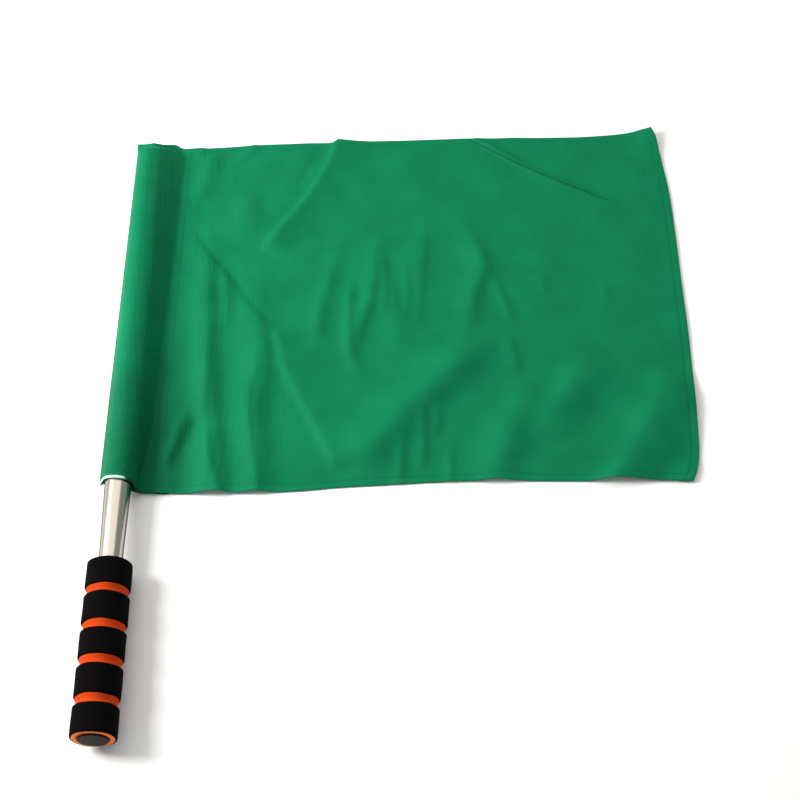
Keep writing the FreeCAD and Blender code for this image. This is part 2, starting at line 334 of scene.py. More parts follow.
# %% [markdown]
# ## Pieces turned round the pole
#
# Tube, plugs, foam core and foam bands are all profiles carried once round the axis. A profile is
# a closed run of (distance, radius) points. Foam isn't machined true, so its radius and its edges
# wander a little with the angle, inwards only, because the grip lies on the table.

# %% Lathe
turns = 96
wander_waves = ((2, 0.5), (3, 0.3), (7, 0.2))  # waves in a turn, and their share of the wander
wander_twist = 0.12  # radians that the waves turn in a millimetre along the piece


def arc_points(centre, radius, start, end, count=8):
    """Points (distance, radius) on an arc round a centre, from one angle in degrees to another."""
    angle = np.radians(np.linspace(start, end, count))
    return np.stack([centre[0] + radius * np.cos(angle), centre[1] + radius * np.sin(angle)], -1)


def lathe(name, profile, wander=0.0, seed=0, true_radius=0.0):
    """Carry a closed profile round the axis: point = axis + radius turned by the angle.

    wander, in millimetres, takes away a sum of three waves round and along the piece, but nothing
    at true_radius, where the piece meets another.
    """
    angle = np.linspace(0, 2 * np.pi, turns, endpoint=False)
    distance, radius = (np.repeat(profile[:, i, None], turns, 1) for i in (0, 1))
    if wander:
        draw = np.random.default_rng(seed)
        for waves, reach in wander_waves:
            turn, slide = draw.uniform(0, 2 * np.pi, 2)
            wave = 0.5 + 0.5 * np.sin(waves * (angle + wander_twist * distance) + turn)
            radius = radius - wander * reach * wave * np.clip(radius - true_radius, 0, 1)
            distance = distance + wander * reach * np.sin((waves + 1) * angle + slide)
    points = pole_points(distance, radius, angle[None, :]).reshape(-1, 3)
    piece = mesh_object(name, points, grid_faces(len(profile), turns, True, True))
    return close_mesh(piece)


# %% [markdown]
# The sizes are those of the construction. The tube is 18 mm across in the sleeve, narrows in its
# bare stretch, and is 15.4 mm across in the grip, which is 30 mm across, with five bands and four
# grooves between them.

# %% Tube and plugs
tube_radius, handle_tube_radius, tube_wall = 9.0, 7.7, 0.6
grip_radius, grip_length, bare_tube = 15.0, 118.0, 60.0
groove_width, groove_depth, groove_round, end_round = 6.0, 1.25, 2.0, 1.0
far_round, groove_hollow = 0.7, 0.8  # the shoulder at a groove's butt side, and its floor
plug_stem, plug_gap, top_head = 12.0, 0.05, 3.0
plug_rim, plug_round = 9.85, 0.4
foam_gap = 0.02
tube_low, tube_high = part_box("pole_tube")
rims = (handle_tube_radius + tube_radius) * abs(along.z)  # the leaning rims reach past the axis
tube_length = ((tube_high.y - tube_low.y) / mm - rims) / along.y
print("tube length", round(tube_length, 1))

tube_bevel = 0.1
cone = [(grip_length + bare_tube * t, mix(handle_tube_radius, tube_radius, t))
        for t in np.linspace(0, 1, 9)]
outside = [(tube_bevel, handle_tube_radius), *cone, (tube_length / 2, tube_radius),
           (tube_length - tube_bevel, tube_radius)]
inside = [(distance, radius - tube_wall) for distance, radius in reversed(cone)]
tube = lathe("steel_tube", np.array([
    (0, handle_tube_radius - tube_bevel), *outside, (tube_length, tube_radius - tube_bevel),
    (tube_length, tube_radius - tube_wall), *inside, (0, handle_tube_radius - tube_wall),
]))
tube.data.materials.append(stainless)

stem = handle_tube_radius - tube_wall - plug_gap
butt_plug = lathe("butt_end_plug", np.vstack([
    [(-butt_head, 0)],
    arc_points((plug_round - butt_head, plug_rim - plug_round), plug_round, 180, 90),
    [(0, plug_rim), (0, stem), (plug_stem, stem), (plug_stem, 0)],
]))
butt_plug.data.materials.append(plug_plastic)

stem = tube_radius - tube_wall - plug_gap
ball = (tube_radius ** 2 + top_head ** 2) / (2 * top_head)
dome_share = math.degrees(math.asin(tube_radius / ball))
top_plug = lathe("top_end_plug", np.vstack([
    [(tube_length - plug_stem, 0), (tube_length - plug_stem, stem), (tube_length, stem)],
    arc_points((tube_length + top_head - ball, 0), ball, dome_share, 0, 12),
]))
top_plug.data.materials.append(plug_plastic)

# %% Foam core and bands
core_radius = grip_radius - groove_depth
dark_end = 3.0  # glue and black dust cover the core's last millimetres at the tube's side
pale_rim = 2.9  # the outer ring of the cut end, where the knife left the cells open
band_shares = (1.015, 1.055, 0.94, 1.005, 0.985)
band_reach = (0.2, 0.0, 0.4, 0.5, 0.0)  # how far each band's shoulder stands out into its groove
band_wander = 0.25
mean_band = (grip_length - groove_width * (len(band_shares) - 1)) / len(band_shares)
band_ends = np.cumsum(np.array(band_shares) * mean_band * len(band_shares) / sum(band_shares))
band_ends += groove_width * np.arange(len(band_shares))
hollows = [(end + groove_width * t, core_radius - groove_hollow * math.sin(math.pi * t) ** 2)
           for end in band_ends[:-1] for t in np.linspace(0, 1, 11)]
core = lathe("orange_foam_core", np.array([
    (0, handle_tube_radius + foam_gap), (0, core_radius - pale_rim), (0, core_radius), *hollows,
    (grip_length - dark_end, core_radius), (grip_length, core_radius),
    (grip_length, handle_tube_radius + foam_gap),
]))
for foam in (orange_foam, cut_foam, black_foam):
    core.data.materials.append(foam)
for face in core.data.polygons:
    reach = ((face.center - butt) - along * (face.center - butt).dot(along)).length
    if face.normal.dot(along) < -0.9 and reach > (core_radius - pale_rim) * mm:
        face.material_index = 1
    elif (face.center - butt).dot(along) > (grip_length - dark_end) * mm:
        face.material_index = 2

bands, start, inner = [], 0.0, core_radius + foam_gap
for number, (end, reach) in enumerate(zip(band_ends, band_reach), 1):
    low_round = end_round if number == 1 else groove_round
    low_angle = math.degrees(math.acos(1 - min(1, (grip_radius - inner) / low_round)))
    low_centre = start + low_round * math.sin(math.radians(low_angle))
    high_centre = end + reach - far_round
    profile = np.vstack([
        arc_points((low_centre, grip_radius - low_round), low_round, 90 + low_angle, 90),
        [(mix(low_centre, high_centre, t), grip_radius) for t in (0.2, 0.4, 0.6, 0.8)],
        arc_points((high_centre, grip_radius - far_round), far_round, 90, 0),
        [(end, inner), (start, inner)],
    ])
    band = lathe("black_foam_band_%d" % number, profile, band_wander, number, inner)
    band.data.materials.append(black_foam)
    bands.append(band)
    start = end + groove_width

# %% [markdown]
# ## The cloth's own coordinates
#
# The cloth is worked out in its own directions: u runs across from the folded edge of the sleeve,
# v runs down from the top edge, and z is the height over the table. The folded edge lies turned by
# a degree to the pole, because the sleeve is wider than the tube.

# %% Flag coordinates
flag_width, flag_drop = 402.0, 298.0
skew = math.radians(0.8)
sleeve_bore, fold_slack, solid_cloth = 9.4, 0.3, 0.5
fold_offset = sleeve_bore + fold_slack + solid_cloth  # from the pole's axis to the folded edge
corner = Vector((butt.x - fold_offset * mm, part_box("flag_cloth")[1].y, 0))


def flag_direction(u, v, z):
    """(u, v, z) turned by the skew: v runs down the table, against y."""
    u, v, z = np.broadcast_arrays(u, v, z)
    return np.stack([u * math.cos(skew) - v * math.sin(skew),
                     -v * math.cos(skew) - u * math.sin(skew), z], -1)


def flag_points(u, v, z):
    """Places given in millimetres from the folded top corner."""
    return np.array(corner) + mm * flag_direction(u, v, z)


def ease(x):
    """0 below 0, 1 above 1, and three x squared minus two x cubed between."""
    x = np.clip(x, 0, 1)
    return x * x * (3 - 2 * x)


def soft_greater(a, b, width):
    """The greater of two, rounded where they cross: half of their sum plus a softened distance."""
    return 0.5 * (a + b + np.hypot(a - b, width))


print("folded corner", tuple(corner))

# %% [markdown]
# ## Folds
#
# Cloth that was packed and then laid down keeps soft ridges, a few sharp packing creases and some
# puckers along its hems. Each fold here has a crest, which is a smooth curve through a few given
# places, and falls away to its left and its right at different rates. Light comes from the left,
# so a fold shows as a bright slope on the left of its crest and a dark one on its right.

# %% Fold functions
def smooth_run(places, steps=10):
    """A curve through places: between two of them, a cubic that leaves in line with the others."""
    p = np.array(places, float)
    p = np.vstack([2 * p[0] - p[1], p, 2 * p[-1] - p[-2]])
    a, b, c, d = (p[i:len(p) - 3 + i, None, :] for i in range(4))
    t = np.linspace(0, 1, steps, endpoint=False)[None, :, None]
    curve = 2 * b + (c - a) * t + (2 * a - 5 * b + 4 * c - d) * t ** 2
    curve = (curve + (3 * b - a - 3 * c + d) * t ** 3) / 2
    return np.vstack([curve.reshape(-1, 2), p[-2]])


def run_distance(run, u, v):
    """Distance of each place from a run, positive on its right going down, and how far along."""
    steps = np.diff(run, axis=0)
    lengths = np.hypot(*steps.T)
    starts = np.concatenate([[0], np.cumsum(lengths)])
    nearest, along_run = np.full(u.shape, np.inf), np.zeros(u.shape)
    side = np.ones(u.shape)
    for (pu, pv), (su, sv), length, reached in zip(run, steps, lengths, starts):
        t = np.clip(((u - pu) * su + (v - pv) * sv) / length ** 2, 0, 1)
        du, dv = u - pu - t * su, v - pv - t * sv
        distance = np.hypot(du, dv)
        closer = distance < nearest
        nearest = np.where(closer, distance, nearest)
        side = np.where(closer, np.where(du * sv - dv * su < 0, -1, 1), side)
        along_run = np.where(closer, (reached + t * length) / starts[-1], along_run)
    return nearest * side, along_run


def fold_rise(u, v, height, left, right, power, fades, places):
    """Height times e to the minus (distance over breadth) to a power, faded at both ends."""
    distance, share = run_distance(smooth_run(places), u, v)
    breadth = np.where(distance < 0, left, right)
    fade = np.ones(u.shape)
    for way, reach in zip((share, 1 - share), fades):
        if reach:
            fade = fade * ease(way / reach)
    return height * fade * np.exp(-(np.abs(distance) / breadth) ** power)


# %% [markdown]
# Each row: height, breadth to the left, breadth to the right, power (2 is a soft hump, 1.4 a sharp
# crease), the shares over which it fades in and out, and its crest. A height below zero is a
# groove.

# %% Fold table
folds = (
    # the two ridges beside the sleeve, and what lies between them
    (4.4, 12, 8.5, 2.0, (0.35, 0),
     ((57, 60), (59, 100), (62, 140), (64, 180), (67, 210), (70, 232), (75, 262), (79, 298))),
    (4.0, 14, 10, 2.0, (0.35, 0),
     ((92, 112), (96, 140), (101, 170), (103, 200), (100, 232), (103, 258), (107, 298))),
    (1.7, 4, 4, 2.0, (0.4, 0.4), ((70, 100), (74, 122), (77, 150), (77, 172))),
    (-3.4, 3, 7, 1.6, (0.25, 0.3), ((61, 234), (58, 250), (53, 265), (46, 287))),
    (1.7, 5, 4, 1.8, (0.3, 0.3), ((54, 226), (50, 245), (45, 265), (40, 284))),
    # the crisp right edges of the two ridges
    (1.1, 6, 1.8, 1.5, (0.3, 0),
     ((65, 165), (66, 200), (67, 236), (71, 258), (74, 275), (81, 298))),
    (1.0, 6, 1.7, 1.5, (0.4, 0),
     ((105, 178), (101, 203), (97, 224), (98, 242), (101, 260), (105, 278), (107, 298))),
    (1.8, 14, 5, 2.0, (0.5, 0), ((66, 244), (69, 270), (71, 300))),
    # the long packing crease from the sleeve to the bottom edge
    (-1.2, 2.4, 6, 1.5, (0.45, 0.06),
     ((40, 52), (49, 78), (60, 97), (71, 111), (82, 126), (91, 141), (101, 154), (110, 166))),
    (2.3, 3.2, 14, 1.6, (0.1, 0.1),
     ((110, 163), (118, 185), (122, 203), (135, 230), (150, 260), (163, 288))),
    # the curved crease from the top edge
    (4.2, 2.2, 16, 1.4, (0, 0.1),
     ((154, -3), (147, 20), (138, 40), (127, 60), (116, 76), (106, 91), (99, 101))),
    (-1.4, 5, 2.2, 1.6, (0, 0.5), ((146, -3), (136, 18), (127, 36), (118, 50))),
    # small upright ridges in the middle
    (2.1, 7, 6, 1.8, (0.4, 0.3),
     ((157, 85), (156, 100), (151, 125), (145, 150), (143, 172), (146, 197))),
    (2.0, 4, 4, 1.8, (0.3, 0.3),
     ((170, 122), (166, 138), (165, 155), (165, 175), (168, 195), (175, 215))),
    (2.4, 7, 5.5, 1.8, (0.4, 0.3),
     ((186, 76), (184, 105), (181, 140), (175, 163), (171, 180), (173, 202))),
    (1.2, 6, 5, 1.8, (0.3, 0.3), ((193, 120), (198, 150), (200, 172), (199, 192))),
    (1.2, 7, 4, 1.8, (0.4, 0.2), ((219, 60), (219, 90), (217, 115), (215, 140), (214, 178))),
    (2.6, 9, 6.5, 1.8, (0.4, 0.3),
     ((248, 68), (253, 92), (260, 112), (261, 126), (255, 142), (252, 158), (249, 186))),
    (1.4, 4, 3, 1.6, (0.3, 0.4), ((267, 128), (272, 140), (278, 158), (284, 176))),
    (1.0, 5, 4, 1.8, (0.3, 0.3), ((276, 178), (281, 200), (286, 218))),
    (1.1, 3.5, 2.5, 1.7, (0.3, 0.3), ((189, 100), (191, 130), (190, 165))),
    (1.0, 3, 2.5, 1.7, (0.3, 0.3), ((205, 112), (207, 140), (205, 172))),
    (0.6, 4, 3, 1.8, (0.4, 0.4), ((303, 125), (306, 150))),
    (0.6, 5, 4, 1.8, (0.4, 0.4), ((348, 130), (347, 162))),
    # the big slanting fold, and the ripples below it
    (6.2, 18, 15, 2.0, (0.25, 0.2),
     ((272, 176), (254, 194), (230, 218), (206, 244), (182, 271), (172, 296))),
    (1.2, 4, 3, 1.8, (0.4, 0), ((205, 258), (204, 278), (203, 300))),
    (1.3, 4, 3, 1.8, (0.4, 0.2), ((219, 234), (219, 262), (217, 292))),
    (1.1, 4, 3, 1.8, (0.4, 0.3), ((229, 236), (228, 250), (225, 268))),
    (1.2, 4, 3, 1.8, (0.4, 0), ((236, 264), (237, 282), (238, 300))),
    (4.4, 13, 14, 2.0, (0.35, 0), ((295, 208), (290, 232), (277, 260), (268, 298))),
    (5.0, 12, 17, 2.0, (0.4, 0.4), ((343, 188), (331, 208), (318, 229), (306, 250), (298, 274))),
    (5.6, 13, 24, 2.0, (0.3, 0), ((396, 205), (384, 232), (371, 256), (358, 280), (350, 300))),
    # the straight packing crease at the top right, with a lip below it
    (1.9, 2.2, 2.2, 1.4, (0.05, 0.3),
     ((259, -2), (280, 15), (300, 30), (320, 42), (345, 56), (366, 66))),
    # beside the sleeve's top end
    (2.6, 9, 10, 1.8, (0.2, 0.3), ((58, 2), (55, 25), (50, 56))),
    (1.8, 12, 10, 2.0, (0.3, 0.3), ((90, 40), (88, 66), (84, 96))),
    (1.1, 5, 4, 1.8, (0.1, 0.3), ((93, 0), (80, 12), (66, 22))),
)

# %% [markdown]
# The laid cloth's height is the sum of the folds, a faint unevenness, the thickness of the hems
# that it lies on, a groove under each line of stitches, and the curl of the corner at the top of
# the fly edge.

# %% The laid cloth's height
thickness, table_gap = 0.3, 0.02
hem_pitch = 0.42  # from one layer's middle to the next, where they are sewn flat
hem_width, hem_puff, puff_reach = 9.0, 0.9, 2.2
hem_rest, hem_fade, lap_fade = 2.0, 18.0, 8.0  # how far in the cloth still lies on its hems
stitch_inset, stitch_groove, groove_breadth = 4.5, 0.28, 0.9
seam_place, lap_end = 39.5, 46.0
free_lift, lift_reach = 1.3, 22.0  # crumpled cloth stands off the table, except at its hems
fold_strength = 1.15  # all folds together, set by how deep their shades are in the photograph
table_bend = 1.0  # how softly the cloth comes down on the table beside a groove
corner_lift, corner_reach = 4.6, 40.0
uneven_share = 0.0025  # a wave's height as a share of its length


def unevenness(u, v):
    """A faint sum of seeded waves in many directions, 14 to 60 mm long."""
    draw = np.random.default_rng(5)
    total = np.zeros(u.shape)
    for length in np.geomspace(60, 14, 14):
        heading, phase = draw.uniform(0, 2 * np.pi, 2)
        way = u * math.cos(heading) + v * math.sin(heading)
        total += length * uneven_share * np.sin(way * 2 * np.pi / length + phase)
    return total


def edge_distance(u, v):
    """Distances to the nearest of the top and bottom edges, and to the fly edge."""
    return np.minimum(v, flag_drop - v), flag_width - u


def laid_height(u, v):
    """Height of the cloth's middle where it lies on the table, u and v before the edges bend."""
    to_end, to_fly = edge_distance(u, v)
    lift = free_lift * ease(to_end / lift_reach) * ease(to_fly / lift_reach)
    rise = lift + fold_strength * sum(fold_rise(u, v, *row) for row in folds) + unevenness(u, v)
    rise = soft_greater(rise, 0, table_bend)
    ends, fly = (1 - ease((inwards - hem_rest) / hem_fade) for inwards in (to_end, to_fly))
    on_lap = 1 - ease((u - lap_end) / lap_fade)
    rise += hem_pitch * (1 + hem_puff) * (ends + fly + ends * fly)
    rise += hem_pitch * on_lap * (1 + 2 * ends)
    curl = np.clip(1 - np.hypot(u - flag_width, v) / corner_reach, 0, 1)
    rise += corner_lift * curl ** 2
    for inwards in (to_end, to_fly):
        rise -= stitch_groove * np.exp(-((inwards - stitch_inset) / groove_breadth) ** 2)
    return thickness / 2 + table_gap + rise


# %% [markdown]
# ## The sleeve
#
# Across the pole the cloth is a closed loop pulled tight round a few circles: the sewn seam on the
# table, the tube, the folded edge at the far left, and a soft heel where it turns back under. The
# loop is made of the circles' shared tangents and of arcs between them. It changes evenly from the
# top end, where it is sewn shut, to the mouth, where it stands open round the tube.

# %% The sleeve's outline
sleeve_width, fold_round = 38.0, 0.4
mouth_fold_height, mouth_heel_radius, mouth_heel_reach = 9.5, 3.5, 6.0
foot_shift, end_foot_shift = 8.0, 7.0  # the slope's foot is nearer to the tube at both ends
mouth_shift, mouth_run = 5.0, 60.0  # and at the mouth the cloth comes down right beside it
closing_start, closing_end, closing_height, closing_edge = 9.3, 2.0, 13.5, 10.5
closing_knee, closing_gap = 2.5, 0.75
mouth_flare, flare_run = 0.8, 24.0  # the mouth stands a little off the tube
slack_reach, slack_drop = 3.0, 1.2  # the cloth bulges on the tube's right, where it hangs loose


def axis_place(v):
    """How far the pole's axis is from the folded edge at v, and how high over the table."""
    y = corner.y / mm - v * math.cos(skew) - fold_offset * math.sin(skew)
    height = butt.z / mm + (y - butt.y / mm) * along.z / along.y
    return fold_offset / math.cos(skew) + v * math.tan(skew), height


def sleeve_rounds(v):
    """The circles that the loop is pulled round: seam, slack, tube, folded edge, heel, seam."""
    down = v / flag_drop
    shut = ease((closing_start - v) / (closing_start - closing_end))
    axis_u, axis_z = axis_place(v)
    heel = mix(sleeve_bore, mouth_heel_radius, down)
    edge_z = mix(axis_place(0)[1], mouth_fold_height, down)
    knee_u, knee_heel = axis_u + closing_knee, -solid_cloth - closing_gap
    at_mouth = ease((v - flag_drop + mouth_run) / mouth_run)
    hangs = (1 - shut) * (1 - at_mouth)
    flat = np.zeros(v.shape)
    flared = sleeve_bore + mouth_flare * ease((v - flag_drop + flare_run) / flare_run)
    tube_place = (mix(axis_u, knee_u, shut), mix(axis_z, closing_height, shut),
                  mix(flared, closing_gap, shut))
    slack_place = (tube_place[0] + slack_reach * hangs, tube_place[1] - slack_drop * hangs,
                   tube_place[2])
    foot_in = foot_shift * down + end_foot_shift * shut + mouth_shift * at_mouth
    return [
        (sleeve_width - foot_in, flat + solid_cloth, flat),
        slack_place,
        tube_place,
        (flat + solid_cloth + fold_round, mix(edge_z, closing_edge, shut),
         mix(fold_round, closing_gap, shut)),
        (mix(axis_u - mouth_heel_reach * down, knee_u, shut),
         mix(solid_cloth + heel, closing_height - closing_gap + knee_heel, shut),
         mix(heel, knee_heel, shut)),
        (flat + sleeve_width, flat + solid_cloth, flat),
    ]


def tangent_angle(rounds, index):
    """Angle of the outward normal that one circle's tangent shares with the next circle.

    It is the direction to the next circle, less the arccosine of (radius less next radius) over
    the distance between them.
    """
    (ua, za, ra), (ub, zb, rb) = rounds[index], rounds[index + 1]
    run = np.hypot(ub - ua, zb - za)
    return np.arctan2(zb - za, ub - ua) - np.arccos(np.clip((ra - rb) / run, -1, 1))


def sleeve_angles(rounds):
    """The four tangents' angles, each within a quarter turn back or three forward of the last."""
    angles = [tangent_angle(rounds, 0)]
    for index in (2, 3, 4):
        turn = tangent_angle(rounds, index) - angles[-1]
        angles.append(angles[-1] + (turn + np.pi / 2) % (2 * np.pi) - np.pi / 2)
    return angles


def touch(rounds, index, angle):
    """The point of a circle, grown by half the solid's cloth, in the direction of an angle."""
    u, z, radius = rounds[index]
    reach = radius + solid_cloth / 2
    return u + reach * np.cos(angle), z + reach * np.sin(angle)


# %% [markdown]
# ## One section across the cloth
#
# Going round from the edge that is sewn in under the seam, a section has eight parts: the lap, the
# underside, the heel, the rise to the folded edge, that edge, the rise to the tube, the bend over
# the tube, and then the whole laid panel out to the fly edge. A place is the number of its part and
# a share along it. The panel's height is the softened greater of two: the straight slope from the
# tube to the seam, and the laid height.

# %% The section
lap, underside, heel_bend, fold_rise_part, fold_bend, tube_rise, tube_bend, panel = range(8)
valley = 2.0  # how wide the slope's foot is softened
slope_share, foot_room = 0.06, 3.0


def slope_run(rounds, seam_angle):
    """Where the slope beside the tube starts, and how far across it goes, its foot included."""
    start_u, start_z = touch(rounds, 1, seam_angle)
    return start_u, start_z * np.tan(seam_angle) + foot_room


def panel_place(share, start_u, run):
    """u on the panel: a fixed share of the panel covers the slope, however steep it is."""
    far = mix(start_u + run, flag_width, (share - slope_share) / (1 - slope_share))
    return np.where(share < slope_share, start_u + run * share / slope_share, far)


def panel_share(u, start_u, run):
    """The other way round: the share at which the panel reaches u."""
    far = (u - start_u - run) / (flag_width - start_u - run)
    return np.where(u < start_u + run, slope_share * (u - start_u) / run,
                    mix(slope_share, 1, far))


def section(part, share, v, back):
    """(u, z) and the outward normal of each place; back is how far under the fly edge it is."""
    rounds = sleeve_rounds(v)
    seam_angle, tube_angle, fold_angle, heel_angle = sleeve_angles(rounds)
    # each part: the circles that it starts and ends on, and its normal's angles there
    around = {
        lap: (5, 5, heel_angle, heel_angle),
        underside: (5, 4, heel_angle, heel_angle),
        heel_bend: (4, 4, heel_angle, fold_angle),
        fold_rise_part: (4, 3, fold_angle, fold_angle),
        fold_bend: (3, 3, fold_angle, tube_angle),
        tube_rise: (3, 2, tube_angle, tube_angle),
        tube_bend: (2, 1, tube_angle, seam_angle),
    }
    u, z, angle = np.zeros(part.shape), np.zeros(part.shape), seam_angle
    for number, (first, last, start, end) in around.items():
        turned, way = mix(start, end, share), share
        if number == tube_bend:  # past its top the cloth goes over to the slack's circle
            way = ease((np.pi / 2 - turned) / (np.pi / 2 - end))
        from_u, from_z = touch(rounds, first, turned)
        to_u, to_z = touch(rounds, last, turned)
        if number == lap:
            from_u = lap_end
        found = mix(from_u, to_u, way), mix(from_z, to_z, way), turned
        u, z, angle = (np.where(part == number, *pair) for pair in zip(found, (u, z, angle)))
    start_u, start_z = touch(rounds, 1, seam_angle)
    laid_u = panel_place(share, *slope_run(rounds, seam_angle)) - back
    slope = start_z - (laid_u - start_u) / np.tan(seam_angle)
    flat = laid_height(laid_u, v)
    on_slope = 0.5 + 0.5 * (slope - flat) / np.hypot(slope - flat, valley)
    u = np.where(part == panel, laid_u, u)
    z = np.where(part == panel, soft_greater(slope, flat, valley), z)
    normal_u, normal_z = np.cos(angle), np.sin(angle)
    normal_u = np.where(part == panel, normal_u * on_slope, normal_u)
    normal_z = np.where(part == panel, mix(1, normal_z, on_slope), normal_z)
    size = np.hypot(normal_u, normal_z)
    return u, z, normal_u / size, normal_z / size


# %% [markdown]
# ## Hems and the real outline
#
# Along the top, the bottom and the fly edge the cloth is turned under and sewn. A place past an
# edge goes half a circle round it and then back under. Where two hems meet, the fly's was turned
# first, so its two layers are turned together and make four. Last, the cloth's edges are bowed to
# where they lie: they were never cut quite straight, and they are pulled in by the folds.

# %% The whole sheet
hem_arc, corner_step = 0.9, 1.5
sleeve_pitch_share = 0.8  # hems press flatter round the tube
# places along an edge, and how far the edge lies off its straight line there, in millimetres
top_edge = ((0, 3), (6, 4.4), (12, 5), (16, 4), (21, 2.4), (26, 0.6), (30, 0.2), (32.5, 1.9),
            (47, 1.9), (94, 0.1), (140, 0), (202, 0.7), (263, 1.3), (338, 3.6), (368, 2.9),
            (392, 2.2), (402, 1.5))
bottom_edge = ((0, -3), (8, -1.4), (16, -0.6), (24, -0.4), (32, 0.4), (70, 1.5), (111, 1.6),
               (138, 0.8), (161, -0.9), (204, -2.4), (232, -3.3), (272, -3.1), (326, -1.6),
               (367, -0.8), (402, 0.3))
fly_edge = ((0, -12.3), (11, -8.6), (56, -2.8), (100, -0.8), (142, 0.4), (183, 1.7), (222, 2.1),
            (260, 1.9), (274, 1.6), (287, -0.2), (298, -4.1))
fly_power = 3.0
under_recess, recess_run = 7.0, 40.0
recess_start = 0.4  # the share of the underside where it starts to be drawn back


def smooth_table(places, at):
    """A value at each place, read off the smooth curve through a few pairs."""
    run = smooth_run(places, 12)
    return np.interp(at, run[:, 0], run[:, 1])


def drawn_back(part, share, v):
    """How far the layer under the tube is drawn back at the mouth: most at the heel."""
    reach = np.select([part == heel_bend, part == fold_rise_part, part == underside],
                      [1, 1 - share, ease((share - recess_start) / (1 - recess_start))], 0)
    return under_recess * reach * ease((v - flag_drop + recess_run) / recess_run)


def outlined(u, v):
    """Bow the straight edges: the fly's offset grows with the cube of u over the width."""
    bowed_u = u + smooth_table(fly_edge, v) * (np.clip(u, 0, None) / flag_width) ** fly_power
    ends = mix(smooth_table(top_edge, u), smooth_table(bottom_edge, u), v / flag_drop)
    return bowed_u, v + ends


def hem_turn(over):
    """For a distance past a folded edge: the angle turned, and how far back under it."""
    return np.pi * np.clip(over / hem_arc, 0, 1), np.clip(over - hem_arc, 0, None)


def sheet(part, share, over, q):
    """Points of the sheet's middle, and the outward normals of its sections.

    part and share give the place round a section, over the distance past the fly edge, and q the
    distance down the cut cloth, which is negative past the top edge.
    """
    part, share, over, q = np.broadcast_arrays(part, share, over, q)
    past = np.clip(-q, 0, None) + np.clip(q - flag_drop, 0, None)
    turn_end, back_end = hem_turn(past)
    turn_fly, back_fly = hem_turn(over)
    inward = np.where(q < 0, 1, -1)
    v = np.clip(q, 0, flag_drop) + inward * back_end
    u, z, normal_u, normal_z = section(part, share, v, back_fly)
    under_fly, under_end = 0.5 - 0.5 * np.cos(turn_fly), 0.5 - 0.5 * np.cos(turn_end)
    on_panel = part == panel
    in_corner = (1 - ease((flag_width - hem_width - u) / corner_step)) * on_panel
    layers = 1 + 2 * in_corner * (1 - under_fly)
    depth = under_fly * (1 - under_end) + under_end * (layers + under_fly)
    pitch = hem_pitch * np.where(u < seam_place, sleeve_pitch_share, 1)
    to_end, to_fly = edge_distance(u, v)
    nearest = np.where(on_panel, np.minimum(to_end, to_fly), np.inf)
    puffed = pitch * (1 + hem_puff * np.exp(-(nearest / puff_reach) ** 2))
    bowed_u, bowed_v = outlined(u, v)
    bowed_v = bowed_v - drawn_back(part, share, v)
    bowed_v = bowed_v - inward * pitch / 2 * layers * np.sin(turn_end)
    bowed_u = bowed_u + pitch / 2 * np.sin(turn_fly) - normal_u * depth * puffed
    points = flag_points(bowed_u, bowed_v, z - normal_z * depth * puffed)
    return points, flag_direction(normal_u, 0, normal_z)


# %% [markdown]
# ## The cloth's mesh
#
# The columns crowd where the cloth bends tightly, and the rows crowd at the hems. A Solidify
# modifier then gives the sheet its thickness, half of it to each side. The UV map holds every
# point's place on the cloth as it was cut, in metres, so that the weave follows the cloth round
# its folds.

# %% Cloth mesh
def crowded(start, end, count, places, extra=2.0, breadth=7.0):
    """Places from start to end, whose density is 1 plus a soft extra near each given place."""
    x = np.linspace(start, end, 4000)
    density = 1 + extra * sum(np.exp(-((x - place) / breadth) ** 2) for place in places)
    total = np.concatenate([[0], np.cumsum(0.5 * (density[1:] + density[:-1]))])
    return np.interp(np.linspace(0, total[-1], count), total, x)


section_counts = {lap: 5, underside: 8, heel_bend: 9, fold_rise_part: 4, fold_bend: 8,
                  tube_rise: 7, tube_bend: 16}
panel_columns, laid_rows, arc_steps, hem_steps = 205, 158, 6, 4
past_edge = np.concatenate([
    np.linspace(0, hem_arc, arc_steps + 1)[1:],
    np.linspace(hem_arc, hem_arc + hem_width, hem_steps + 1)[1:],
])
columns = [(number, share, 0.0) for number, count in section_counts.items()
           for share in np.linspace(0, 1, count, endpoint=False)]
# the panel starts beside the tube; its columns crowd at the slope's foot and at the fly hem
panel_start, foot_places, fly_crowd = 17, (16, 24), 21
panel_shares = crowded(0, flag_width - panel_start, panel_columns,
                       (*foot_places, flag_width - fly_crowd), breadth=9)
columns += [(panel, share, 0.0) for share in panel_shares / panel_shares[-1]]
columns += [(panel, 1.0, over) for over in past_edge]
columns = np.array(columns)
rows = np.concatenate([
    -past_edge[::-1],
    crowded(0, flag_drop, laid_rows, (hem_rest, flag_drop - hem_rest)),
    flag_drop + past_edge,
])
print("cloth grid", len(rows), "rows", len(columns), "columns")

